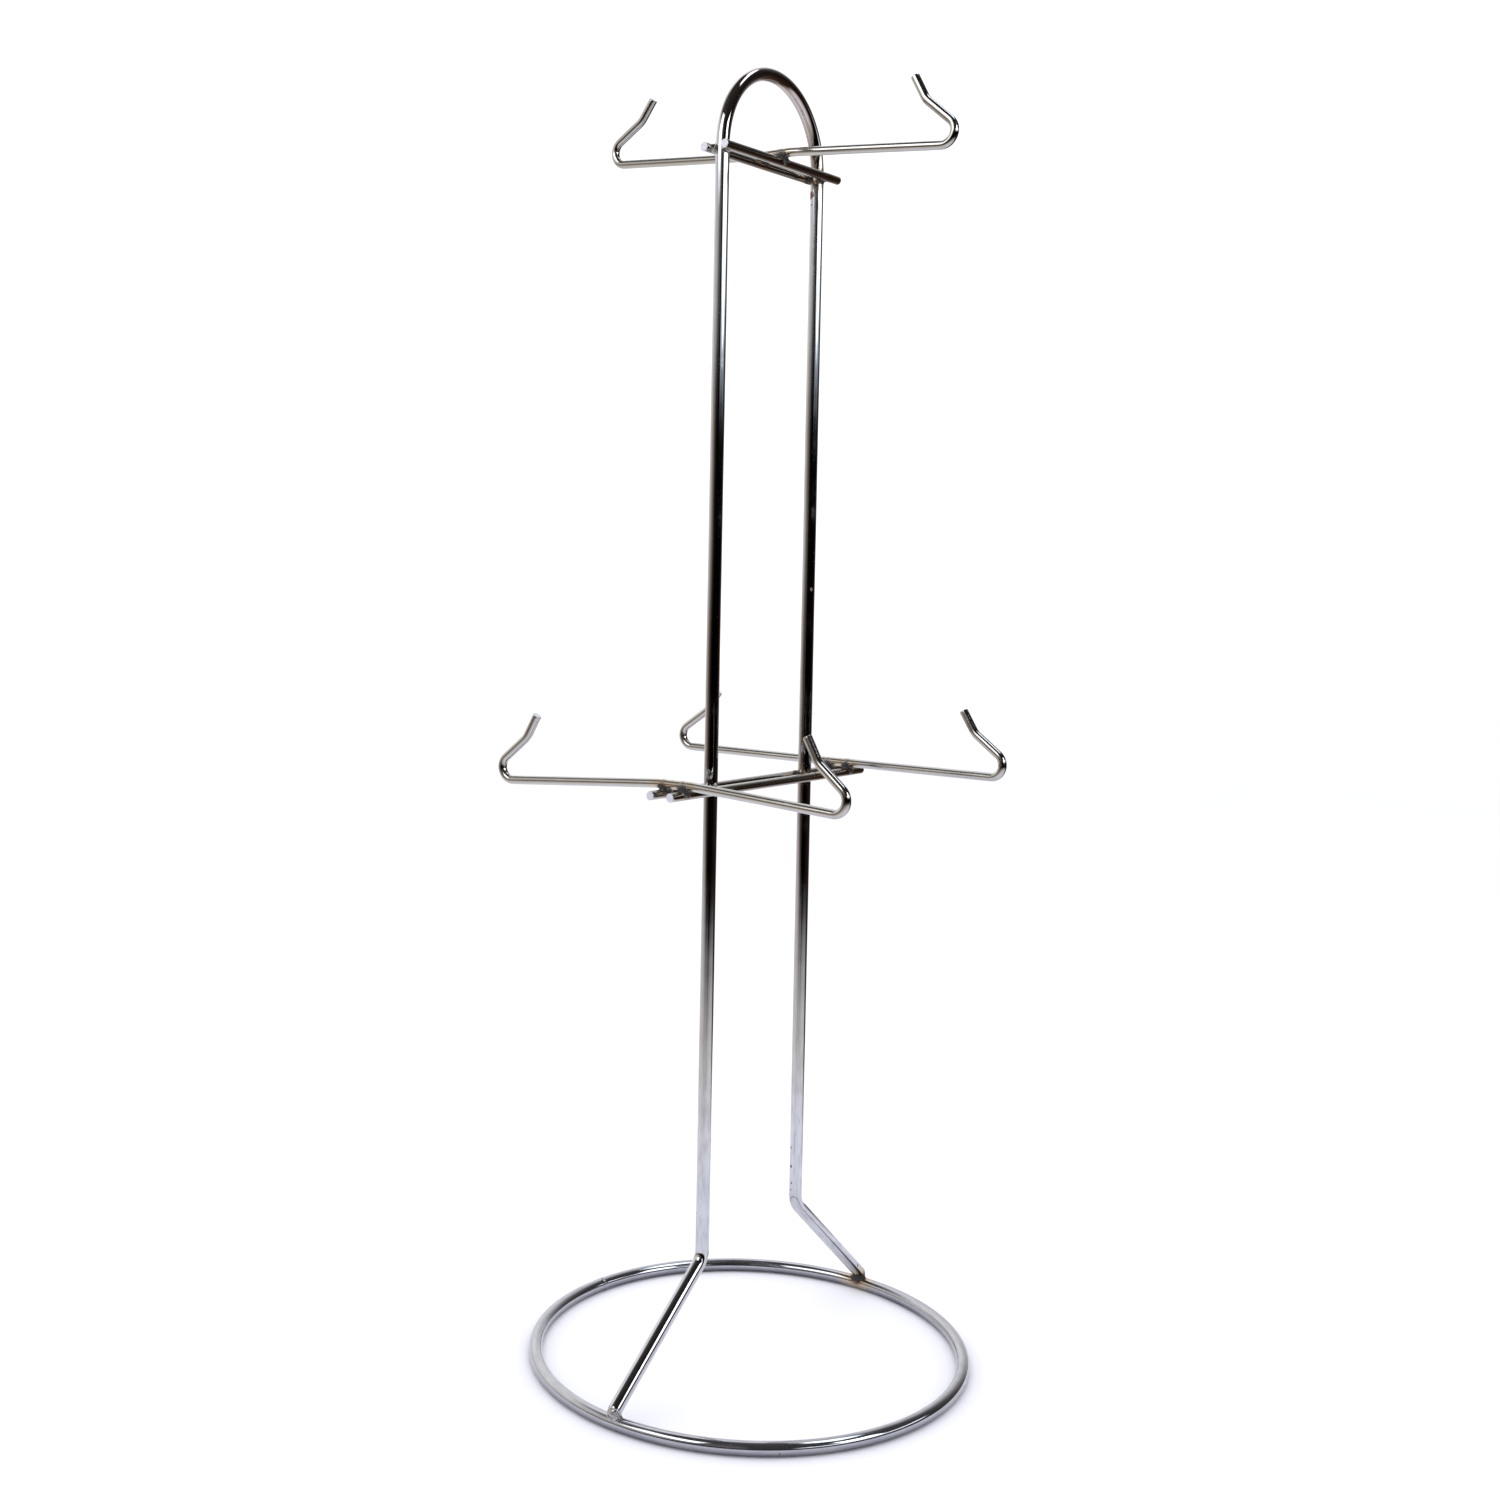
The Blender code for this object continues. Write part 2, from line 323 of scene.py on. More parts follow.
def find_welds():
    """Every weld, by the name of its CAD node."""
    welds = {}
    for name, tier in TIERS.items():
        for face, towards in SIDE_OF_Y.items():
            for leg, side in SIDE_OF_X.items():
                x = side * UPRIGHT_X
                welds[f"weld_{name}_rod_{face}_{leg}_upright"] = Weld(
                    Vector((x, towards * (FRAME_RADIUS + FIT_GAP / 2), tier.height)),
                    Line(Vector((x, 0, tier.height)), UP, FRAME_RADIUS),
                    Line(Vector((x, towards * ROD_OFFSET, tier.height)), ALONG_X, TIER_RADIUS),
                    UPRIGHT_SCORCH[name, leg],
                    1.0,
                )
    for name, wire in HOOK_WIRES.items():
        height = TIERS[wire.tier].height
        for face, towards in SIDE_OF_Y.items():
            y = towards * ROD_OFFSET
            welds[f"weld_{name}_{face}_rod"] = Weld(
                Vector((wire.x, y, height + HOOK_WIRE_RISE / 2)),
                Line(Vector((wire.x, y, height)), ALONG_X, TIER_RADIUS),
                Line(Vector((wire.x, y, height + HOOK_WIRE_RISE)), ALONG_Y, TIER_RADIUS),
                HOOK_SCALE_AND_SHADE,
                HOOK_BEAD_SIZE,
            )
    for leg, side in SIDE_OF_X.items():
        foot = Vector((side * FOOT_REACH, 0, FOOT_HEIGHT))
        bend = Vector((side * UPRIGHT_X, 0, LEG_BEND_HEIGHT[leg]))
        welds[f"weld_{leg}_foot"] = Weld(
            Vector((side * (RING_RADIUS - FOOT_BEAD_INSET), 0, 2 * FRAME_RADIUS)),
            Line(foot, (bend - foot).normalized(), FRAME_RADIUS),
            None,
            FOOT_SCALE_AND_SHADE[leg],
            FOOT_BEAD_SIZE[leg],
        )
    return welds


WELDS = find_welds()


def paint_heat(mesh):
    """Stores on each vertex how much of a weld's heat it took: scale close by, tint further out."""
    count = len(mesh.vertices)
    places = np.zeros(count * 3)
    mesh.vertices.foreach_get("co", places)
    places = places.reshape(-1, 3)
    scale = np.zeros(count)
    tint = np.zeros(count)
    for weld in WELDS.values():
        strength, reach = weld.scorch
        away = np.linalg.norm(places - np.array(weld.contact), axis=1)
        scale = np.maximum(scale, strength * np.exp(-((away / (SCALE_REACH * reach)) ** 2)))
        tint = np.maximum(tint, strength * np.exp(-((away / (TINT_REACH * reach)) ** 2)))
    for label, values in (("scale", scale), ("tint", tint)):
        attribute = mesh.attributes.new(label, "FLOAT", "POINT")
        attribute.data.foreach_set("value", values.astype(np.float32))


# ------------ materials

class Graph:
    """Short calls for building one material's nodes."""

    def __init__(self, name):
        self.material = bpy.data.materials.new(name)
        self.material.use_nodes = True
        self.nodes = self.material.node_tree.nodes
        self.links = self.material.node_tree.links
        self.nodes.clear()

    def add(self, kind, **settings):
        made = self.nodes.new(kind)
        for name, value in settings.items():
            setattr(made, name, value)
        return made

    def feed(self, socket, value):
        if isinstance(value, bpy.types.NodeSocket):
            self.links.new(value, socket)
        else:
            socket.default_value = value

    def math(self, operation, first, second=0.0, clamp=False):
        made = self.add("ShaderNodeMath", operation=operation, use_clamp=clamp)
        self.feed(made.inputs[0], first)
        self.feed(made.inputs[1], second)
        return made.outputs[0]

    def vector(self, operation, first, second=(0, 0, 0)):
        made = self.add("ShaderNodeVectorMath", operation=operation)
        self.feed(made.inputs[0], first)
        self.feed(made.inputs[1], second)
        return made

    def smooth(self, value, low, high, start=0.0, finish=1.0):
        """Runs softly from start to finish while the value goes from low to high."""
        made = self.add("ShaderNodeMapRange", interpolation_type="SMOOTHSTEP")
        labels = ("Value", "From Min", "From Max", "To Min", "To Max")
        for label, number in zip(labels, (value, low, high, start, finish)):
            self.feed(made.inputs[label], number)
        return made.outputs["Result"]

    def mix(self, share, first, second, blend="MIX"):
        made = self.add("ShaderNodeMix", data_type="RGBA", blend_type=blend)
        self.feed(made.inputs[0], share)
        self.feed(made.inputs[6], first)
        self.feed(made.inputs[7], second)
        return made.outputs[2]

    def centred(self, value, width):
        """A value from 0 to 1, made to run over a width round zero."""
        return self.math("MULTIPLY", self.math("SUBTRACT", value, 0.5), width)

    def noise(self, place, scale, detail, roughness):
        """Noise from 0 to 1, with scale features per unit of place."""
        made = self.add("ShaderNodeTexNoise")
        self.feed(made.inputs["Vector"], place)
        made.inputs["Scale"].default_value = scale
        made.inputs["Detail"].default_value = detail
        made.inputs["Roughness"].default_value = roughness
        return made.outputs["Fac"]

    def bump(self, height, distance, normal=None):
        """Relief whose highest places stand out by a distance in metres."""
        made = self.add("ShaderNodeBump")
        self.feed(made.inputs["Height"], height)
        made.inputs["Distance"].default_value = distance
        if normal is not None:
            self.links.new(normal, made.inputs["Normal"])
        return made.outputs["Normal"]

    def stored(self, label):
        return self.add("ShaderNodeAttribute", attribute_name=label).outputs["Fac"]

    def object_place(self):
        return self.add("ShaderNodeTexCoord").outputs["Object"]

    def parts(self, place):
        made = self.add("ShaderNodeSeparateXYZ")
        self.feed(made.inputs[0], place)
        return made.outputs

    def surface(self, colour, metal, rough, normal):
        """The shader of a solid surface."""
        made = self.add("ShaderNodeBsdfPrincipled")
        self.feed(made.inputs["Base Color"], colour)
        self.feed(made.inputs["Metallic"], metal)
        self.feed(made.inputs["Roughness"], rough)
        self.feed(made.inputs["Normal"], normal)
        return made

    def finish(self, shader):
        """Ends the material with a shader and hands it over."""
        output = self.add("ShaderNodeOutputMaterial")
        self.links.new(shader.outputs[0], output.inputs[0])
        return self.material

    def glow(self, share, colour, brightness=1.0):
        """Ends the material as a glow where the share is one and as nothing where it is zero."""
        bright = self.add("ShaderNodeEmission")
        self.feed(bright.inputs["Color"], colour)
        bright.inputs["Strength"].default_value = brightness
        clear = self.add("ShaderNodeBsdfTransparent")
        pick = self.add("ShaderNodeMixShader")
        self.feed(pick.inputs[0], share)
        self.links.new(clear.outputs[0], pick.inputs[1])
        self.links.new(bright.outputs[0], pick.inputs[2])
        self.material.cycles.emission_sampling = "NONE"
        return self.finish(pick)


FRAME_CHROME = (0.495, 0.500, 0.525, 1.0)
TIER_CHROME = (0.470, 0.455, 0.435, 1.0)
RING_CHROME = (0.450, 0.455, 0.490, 1.0)
PAINTED_FLOOR_REFLECTION = (0.570, 0.575, 0.610, 1.0)  # painted reflection: the arch wire's chrome drawn lighter and bluer near the counter, where it mirrors the pale floor
WARM_TOP_CHROME = (0.530, 0.455, 0.430, 1.0)  # and a warmer chrome colour round the top of the arch
MOTTLE = (0.250, 0.250, 0.275, 1.0)
# painted contact shade for the ring's underside
PAINTED_CONTACT_SHADE = (0.150, 0.155, 0.190, 1.0)
DULL_CHROME = (0.42, 0.415, 0.42, 1.0)
CUT_STEEL = (0.62, 0.63, 0.66, 1.0)
STRAW = (0.47, 0.385, 0.28, 1.0)
BROWN = (0.20, 0.095, 0.050, 1.0)
BLACK_SCALE = (0.018, 0.015, 0.013, 1.0)
RUST = (0.17, 0.062, 0.022, 1.0)
DARK_WELD = (0.27, 0.26, 0.25, 1.0)
BRIGHT_WELD = (0.48, 0.48, 0.49, 1.0)

# Heights over which the painted floor reflection on the arch wire ends, the warmer colour round its top
# starts, and the painted contact shade on the ring's underside ends
FLOOR_REFLECTION_HEIGHTS = (0.10, 0.19)
WARM_TOP_HEIGHTS = (0.555, 0.590)
CONTACT_SHADE_HEIGHTS = (0.0008, 0.0046)
CONTACT_SHADE_UNEVENNESS = 0.0012

# Noises of the surfaces: features per metre, detail, roughness
WAVES = (85.0, 1.0, 0.4)
PEEL = (950.0, 2.0, 0.5)
GRAIN = (2600.0, 3.0, 0.7)
SMUDGES = (46.0, 4.0, 0.62)
CLOUDS = (19.0, 3.0, 0.55)
SPECK_AREAS = (34.0, 2.0, 0.5)
SCALE_FLAKES = (420.0, 5.0, 0.65)
TINT_PATCHES = (150.0, 3.0, 0.6)
WELD_LUMPS = (560.0, 4.0, 0.6)
WELD_GRAIN = (2300.0, 4.0, 0.65)
WELD_RUST = (330.0, 3.0, 0.6)
PAPER_FIBRES = (900.0, 3.0, 0.6)
PAPER_CLOUDS = (7.0, 3.0, 0.5)
SHEET_FOLDS = (5.0, 3.0, 0.6)

# Detail drawn out along the wire: features per metre round it and along it
DRAWN_LINES = (5200.0, 38.0, 0.0)
MOTTLE_PATCHES = (420.0, 85.0, 0.0)
SPECKS_PER_METRE = 310.0

# Depths of the relief on the chrome and the weld metal, in metres
PEEL_DEPTH = 0.0000005
LINE_DEPTH = 0.00000025
CRUST_DEPTH = 0.00028
WELD_LUMP_DEPTH = 0.00030
WELD_GRAIN_DEPTH = 0.00004

# How much rougher each flaw makes the chrome
ROUGHENING = {"smudge": 0.10, "grain": 0.03, "brown": 0.16, "black": 0.25, "cut": 0.30, "speck": 0.50}

# Spots where the plating has broken: leg, direction from the upright's middle in degrees from
# +X, height, size
SPOTS = (
    ("far", 156.0, 0.0906, 0.0006),
    ("far", 161.0, 0.0812, 0.0008),
    ("far", 170.0, 0.0730, 0.0006),
    ("far", 164.0, 0.0695, 0.0005),
    ("far", 150.0, 0.5540, 0.0021),
    ("far", 161.0, 0.5493, 0.0006),
    ("near", 150.0, 0.0790, 0.0004),
    ("near", 281.0, 0.1130, 0.0004),
)


def spot_mask(g, place, ragged):
    """How near a place is to one of the broken spots, with a ragged outline."""
    total = 0.0
    for leg, direction, height, size in SPOTS:
        turned = math.radians(direction)
        middle = (
            SIDE_OF_X[leg] * UPRIGHT_X + FRAME_RADIUS * math.cos(turned),
            FRAME_RADIUS * math.sin(turned),
            height,
        )
        away = g.vector("DISTANCE", place, middle).outputs["Value"]
        away = g.math("ADD", away, g.centred(ragged, 1.6 * size))
        total = g.math("MAXIMUM", total, g.smooth(away, 0.55 * size, 1.05 * size, 1.0, 0.0))
    return total


def chrome_material(name, base, tarnish, wobble, polish, shine=1.0, spots_and_painted_reflection=False, contact_shaded=False):
    """Bright chrome over drawn steel wire: uneven plating, smudges, specks and weld heat.

    tarnish is how far the plating has dulled, wobble the depth of its slow waves in metres,
    polish its roughness where it is clean, and shine how metallic it is.
    """
    g = Graph(name)
    place = g.object_place()
    height = g.parts(place)[2]
    wire_place = g.add("ShaderNodeUVMap", uv_map="wire").outputs["UV"]
    scale = g.stored("scale")
    tint = g.stored("tint")
    cut = g.stored("cut")

    # Long fine lines from drawing the wire, and the slow waviness under the plating
    stretched = g.vector("MULTIPLY", wire_place, DRAWN_LINES).outputs[0]
    lines = g.noise(stretched, 1.0, 3.0, 0.6)
    waves = g.noise(place, *WAVES)
    peel = g.noise(place, *PEEL)
    grain = g.noise(place, *GRAIN)

    # Dull patches where hands and stock have rubbed
    smudge = g.smooth(g.noise(place, *SMUDGES), 0.50, 0.72)
    cloud = g.smooth(g.noise(place, *CLOUDS), 0.40, 0.75)

    # Specks of rust that broke through the plating
    speck_cells = g.add("ShaderNodeTexVoronoi", feature="F1")
    g.feed(speck_cells.inputs["Vector"], place)
    speck_cells.inputs["Scale"].default_value = SPECKS_PER_METRE
    speck_gate = g.smooth(g.noise(place, *SPECK_AREAS), 0.66, 0.74)
    speck_size = g.math("MULTIPLY", speck_gate, 0.26)
    speck = g.math("SUBTRACT", speck_size, speck_cells.outputs["Distance"])
    speck = g.smooth(speck, 0.0, 0.07)

    # Heat: broken-up black scale at the weld, brown round it, straw further out
    ragged = g.noise(place, *SCALE_FLAKES)
    black = g.smooth(g.math("ADD", scale, g.centred(ragged, 0.85)), 0.42, 0.66)
    brown = g.smooth(g.math("ADD", scale, g.centred(ragged, 0.68)), 0.16, 0.52)
    uneven_tint = g.math("ADD", tint, g.centred(g.noise(place, *TINT_PATCHES), 0.5))
    straw = g.smooth(uneven_tint, 0.18, 0.75, 0.0, 0.75)

    # Fine mottling of the plating, drawn out along the wire
    mottle_place = g.vector("MULTIPLY", wire_place, MOTTLE_PATCHES).outputs[0]
    mottle = g.smooth(g.noise(mottle_place, 1.0, 4.0, 0.62), 0.38, 0.66)
    mottled = g.math("MULTIPLY", mottle, 0.5 * tarnish)

    colour = base
    if spots_and_painted_reflection:
        # Painted reflection: low on the arch wire the chrome colour turns lighter and bluer, standing in
        # for the pale floor it mirrors there, and the same low share adds wear mottling. Round the top of
        # the arch the colour turns warmer.
        low = g.smooth(height, *FLOOR_REFLECTION_HEIGHTS, 0.9, 0.0)
        high = g.smooth(height, *WARM_TOP_HEIGHTS, 0.0, 0.8)
        colour = g.mix(low, colour, PAINTED_FLOOR_REFLECTION)
        colour = g.mix(high, colour, WARM_TOP_CHROME)
        mottled = g.math("ADD", mottled, g.math("MULTIPLY", mottle, g.math("MULTIPLY", low, 0.25)))
        speck = g.math("MAXIMUM", speck, spot_mask(g, place, ragged))
    colour = g.mix(mottled, colour, MOTTLE)
    if contact_shaded:
        # Painted shade: the ring's underside is darkened and turned bluer where it meets the floor, a
        # painted contact shade.
        uneven_height = g.math("ADD", height, g.centred(ragged, CONTACT_SHADE_UNEVENNESS))
        colour = g.mix(g.smooth(uneven_height, *CONTACT_SHADE_HEIGHTS, 0.9, 0.0), colour, PAINTED_CONTACT_SHADE)
    colour = g.mix(g.math("MULTIPLY", cloud, tarnish), colour, DULL_CHROME)
    colour = g.mix(straw, colour, STRAW)
    colour = g.mix(g.math("MULTIPLY", brown, 0.85), colour, BROWN)
    colour = g.mix(black, colour, BLACK_SCALE)
    colour = g.mix(speck, colour, RUST)
    sawn = g.math("MULTIPLY", cut, g.smooth(ragged, 0.30, 0.52, 0.45, 1.0))
    colour = g.mix(sawn, colour, CUT_STEEL)

    flaws = {"smudge": smudge, "grain": grain, "brown": brown, "black": black, "cut": cut, "speck": speck}
    rough = polish
    for flaw, share in flaws.items():
        rough = g.math("ADD", rough, g.math("MULTIPLY", share, ROUGHENING[flaw]), clamp=True)

    spoiled = g.math("MAXIMUM", speck, g.math("MULTIPLY", black, 0.6))
    metal = g.math("SUBTRACT", shine, g.math("MULTIPLY", g.math("MAXIMUM", spoiled, cut), 0.8))

    normal = g.bump(waves, wobble)
    normal = g.bump(peel, PEEL_DEPTH, normal)
    normal = g.bump(lines, LINE_DEPTH, normal)
    crust = g.math("MULTIPLY", ragged, g.math("ADD", scale, speck))
    normal = g.bump(crust, CRUST_DEPTH, normal)

    return g.finish(g.surface(colour, metal, rough, normal))


def weld_material():
    """Plated-over weld metal: lumpy, dark with scale in its hollows, brighter on its lumps."""
    g = Graph("weld_metal")
    place = g.object_place()
    scale = g.stored("scale")
    lumps = g.noise(place, *WELD_LUMPS)
    grain = g.noise(place, *WELD_GRAIN)
    burnt = g.math("ADD", g.math("MULTIPLY", scale, 0.75), g.math("MULTIPLY", lumps, 0.6))
    burnt = g.smooth(burnt, 0.40, 0.68)
    rusty = g.smooth(g.noise(place, *WELD_RUST), 0.52, 0.68)
    colour = g.mix(g.smooth(lumps, 0.3, 0.7), DARK_WELD, BRIGHT_WELD)
    colour = g.mix(g.math("MULTIPLY", rusty, g.smooth(scale, 0.1, 0.7, 0.15, 0.6)), colour, BROWN)
    colour = g.mix(g.math("MULTIPLY", burnt, 0.92), colour, BLACK_SCALE)
    rough = g.math("ADD", g.math("MULTIPLY", grain, 0.22), g.math("MULTIPLY", burnt, 0.25))
    rough = g.math("ADD", rough, 0.14, clamp=True)
    normal = g.bump(lumps, WELD_LUMP_DEPTH)
    normal = g.bump(grain, WELD_GRAIN_DEPTH, normal)
    metal = g.math("SUBTRACT", 1.0, g.math("MULTIPLY", burnt, 0.45))
    surface = g.surface(colour, metal, rough, normal)
    surface.inputs["Specular IOR Level"].default_value = 0.25
    return g.finish(surface)


ring_chrome = chrome_material(
    "ring_chrome", RING_CHROME, tarnish=0.60, wobble=0.000030, polish=0.060, shine=0.95, contact_shaded=True
)
frame_chrome = chrome_material(
    "frame_chrome", FRAME_CHROME, tarnish=0.35, wobble=0.000030, polish=0.045, spots_and_painted_reflection=True
)
rod_chrome = chrome_material("rod_chrome", TIER_CHROME, tarnish=0.25, wobble=0.000022, polish=0.055)
hook_chrome = chrome_material("hook_chrome", TIER_CHROME, tarnish=0.30, wobble=0.000022, polish=0.120)
weld_metal = weld_material()


# ------------ the ring

SEAM_ANGLE = 83.0  # where the hoop's two ends were butt-welded, in degrees from +X
SEAM_BULGE = 0.00016
SEAM_BULGE_REACH = 0.0015
SEAM_GROOVE = 0.00042
SEAM_GROOVE_REACH = 0.00030
SEAM_SPACING = 0.00012  # between the stations beside the seam
SEAM_STATIONS = 26


def ring_stations():
    """Angles round the ring from the seam, closer together beside the seam."""
    close = [SEAM_SPACING * step for step in range(SEAM_STATIONS)]
    length = math.tau * RING_RADIUS
    even = math.ceil((length - 2 * close[-1]) / STATION_SPACING)
    gap = (length - 2 * close[-1]) / even
    runs = close + [close[-1] + gap * step for step in range(1, even)]
    runs += [length - run for run in reversed(close[1:])]
    return [run / RING_RADIUS for run in runs]


def seam_girth(run):
    """Change of the wire's radius near the butt weld: upset metal with a groove in it."""
    length = math.tau * RING_RADIUS
    away = min(run, length - run)
    bulge = SEAM_BULGE * math.exp(-((away / SEAM_BULGE_REACH) ** 2))
    return bulge - SEAM_GROOVE * math.exp(-((away / SEAM_GROOVE_REACH) ** 2))


def make_ring():
    """The hoop that the rack stands on."""
    start = math.radians(SEAM_ANGLE)
    path = []
    for turned in ring_stations():
        around = Vector((math.cos(start + turned), math.sin(start + turned), 0))
        path.append(RING_CENTRE + around * RING_RADIUS)
    wire = sweep_mesh(Sweep(path, UP, closed=True), FRAME_RADIUS, FRAME_SIDES, girth=seam_girth)
    finish_piece("ring", wire, ring_chrome, ["base_ring"])


make_ring()


# ------------ the arch wire

COPE_GAP = 0.00004


def leg_path(leg):
    """Foot, leg and upright of one side."""
    side = SIDE_OF_X[leg]
    points = (
        (side * FOOT_REACH, 0, FOOT_HEIGHT),
        (side * UPRIGHT_X, 0, LEG_BEND_HEIGHT[leg]),
        (side * UPRIGHT_X, 0, SPRING_HEIGHT),
    )
    return rounded(points, (LEG_BEND_RADIUS,))


def frame_path():
    """Foot, leg, upright, round top, upright, leg, foot."""
    path = leg_path("near")
    steps = math.ceil(math.pi / BEND_STEP)
    for step in range(1, steps):
        angle = math.pi * (1 - step / steps)
        height = SPRING_HEIGHT + UPRIGHT_X * math.sin(angle)
        path.append(Vector((UPRIGHT_X * math.cos(angle), 0, height)))
    return path + leg_path("far")[::-1]


def cope_over_ring(wire):
    """Pushes what would lie inside the ring's wire out to just above its surface."""
    clear = FRAME_RADIUS + COPE_GAP
    for vert in wire.verts:
        if vert.co.z > 2 * clear:
            continue
        flat = Vector((vert.co.x, vert.co.y, 0))
        nearest = flat.normalized() * RING_RADIUS + RING_CENTRE
        away = vert.co - nearest
        if away.length < clear:
            vert.co = nearest + away.normalized() * clear


def make_frame():
    sweep = Sweep(subdivided(frame_path()), ALONG_Y)
    wire = sweep_mesh(sweep, FRAME_RADIUS, FRAME_SIDES, seed=1.3)
    cope_over_ring(wire)
    finish_piece("arch_wire", wire, frame_chrome, ["frame_wire"])


make_frame()


# ------------ rods and hook wires

def make_rod(tier_name, face, seed):
    """One straight rod."""
    tier = TIERS[tier_name]
    middle = Vector((tier.shift, SIDE_OF_Y[face] * ROD_OFFSET, tier.height))
    half = ALONG_X * (tier.length / 2)
    sweep = Sweep(subdivided([middle - half, middle + half]), ALONG_Y)
    wire = sweep_mesh(sweep, TIER_RADIUS, TIER_SIDES, seed=seed)
    name = f"{tier_name}_rod_{face}"
    finish_piece(f"{name}_wire", wire, rod_chrome, [name])


def arm_corners(start, towards_y, reach, sweep, rise):
    """Corners of one arm, from where it leaves the level middle to its hook's tip."""
    sweep = math.radians(sweep)
    rise = math.radians(rise)
    outward = Vector((math.sin(sweep), towards_y * math.cos(sweep), 0))

    def at(along, height):
        run = along * math.cos(rise) - height * math.sin(rise)
        lift = along * math.sin(rise) + height * math.cos(rise)
        return start + outward * run + UP * lift

    bend_along = reach - RETURN_LENGTH * math.cos(RETURN_RISE)
    bend_height = RETURN_LENGTH * math.sin(RETURN_RISE)
    tip_along = bend_along - TIP_LENGTH * math.cos(TIP_RISE)
    tip_height = bend_height + TIP_LENGTH * math.sin(TIP_RISE)
    return [start, at(reach, 0), at(bend_along, bend_height), at(tip_along, tip_height)]


def make_hook_wire(name, seed):
    """One wire with a hook at each end."""
    hook_wire = HOOK_WIRES[name]
    middle = Vector((hook_wire.x, 0, TIERS[hook_wire.tier].height + HOOK_WIRE_RISE))
    reach = ARM_REACH - LEVEL_HALF
    half = ALONG_Y * LEVEL_HALF
    rear_arm = arm_corners(middle + half, 1, reach + hook_wire.shift, *hook_wire.rear)
    front_arm = arm_corners(middle - half, -1, reach - hook_wire.shift, *hook_wire.front)
    corners = front_arm[::-1] + rear_arm
    radii = (UPPER_BEND_RADIUS, LOWER_BEND_RADIUS, KINK_RADIUS)
    path = subdivided(rounded(corners, radii + radii[::-1]), HOOK_STATION_SPACING)
    wire = sweep_mesh(Sweep(path, ALONG_X), TIER_RADIUS, TIER_SIDES, seed=seed)
    finish_piece(f"{name}_bent", wire, hook_chrome, [name])


rod_places = [(tier_name, face) for tier_name in TIERS for face in SIDE_OF_Y]
for number, (tier_name, face) in enumerate(rod_places):
    make_rod(tier_name, face, 11.0 + 2.7 * number)
for number, name in enumerate(HOOK_WIRES):
    make_hook_wire(name, 31.0 + 4.1 * number)


# ------------ weld beads

BEAD_BLEND = 0.0024  # width over which the two wires' surfaces run into each other
BEAD_REACH = 0.0046
BEAD_SKIN = 0.00016  # how far the bead stands out over the wires
BEAD_SINK = 0.00030  # and how far its rim dips into them
BEAD_LUMP_SCALE = 1.9
BEAD_LUMP_REACH = 0.18
BEAD_LUMP_SKIN = 0.9
BEAD_STEPS = 75


def line_distance(places, line, has_end):
    """Distance from places to the surface of a straight wire, which may end at its point."""
    offset = places - np.array(line.point)
    direction = np.array(line.direction)
    along = offset @ direction
    if has_end:
        along = np.maximum(along, 0.0)
    return np.linalg.norm(offset - along[:, None] * direction, axis=1) - line.radius


def ring_distance(places):
    """Distance from places to the surface of the ring's wire."""
    out = np.hypot(places[:, 0], places[:, 1]) - RING_RADIUS
    return np.hypot(out, places[:, 2] - FRAME_RADIUS) - FRAME_RADIUS


def bead_mesh(weld, seed):
    """The lump of metal that runs from one wire into the other round their contact.

    Each way out from the contact is followed until it leaves the two wires, blended together.
    """
    bead = bmesh.new()
    bmesh.ops.create_icosphere(bead, subdivisions=4, radius=1.0)
    ways = np.array([vert.co.normalized() for vert in bead.verts])
    centre = np.array(weld.contact)
    start = Vector((seed, 0, 0))
    lumps = np.array([noise.fractal(Vector(way) * BEAD_LUMP_SCALE + start, 1.0, 2.0, 4) for way in ways])
    reach = BEAD_REACH * weld.size * (1 + BEAD_LUMP_REACH * lumps)
    found = reach.copy()
    still_inside = np.ones(len(ways), bool)
    for step in range(1, BEAD_STEPS + 1):
        share = step / BEAD_STEPS
        away = reach * share
        places = centre + ways * away[:, None]
        to_first = line_distance(places, weld.first, has_end=weld.second is None)
        if weld.second is None:
            to_second = ring_distance(places)
        else:
            to_second = line_distance(places, weld.second, has_end=False)
        blend = BEAD_BLEND * weld.size * (1 - share ** 2) + 1e-6
        overlap = np.maximum(blend - np.abs(to_first - to_second), 0.0) / blend
        joined = np.minimum(to_first, to_second) - overlap * overlap * blend / 4
        skin = BEAD_SKIN * (1 + BEAD_LUMP_SKIN * lumps) * (1 - share ** 3) - BEAD_SINK * share ** 3
        outside = joined - skin > 0
        newly = still_inside & outside
        found[newly] = away[newly]
        still_inside &= ~outside
    for vert, way, far in zip(bead.verts, ways, found):
        vert.co = weld.contact + Vector(way) * far
    axes = {f"use_axis_{axis}": True for axis in "xyz"}
    bmesh.ops.smooth_vert(bead, verts=bead.verts[:], factor=0.5, **axes)
    return bead


for number, (name, weld) in enumerate(WELDS.items()):
    bead = bead_mesh(weld, 2.0 + 1.7 * number)
    finish_piece(f"{name}_bead", bead, weld_metal, [name], sharp=180.0)


# ------------ stage, light and camera

FLOOR_RADIUS = 6.0
FLOOR_COLOUR = (0.860, 0.860, 0.865, 1.0)
FLOOR_SHADE = (0.852, 0.852, 0.860, 1.0)
FLOOR_FIBRE_DEPTH = 0.00002
FLOOR_ROUGHNESS = 0.85


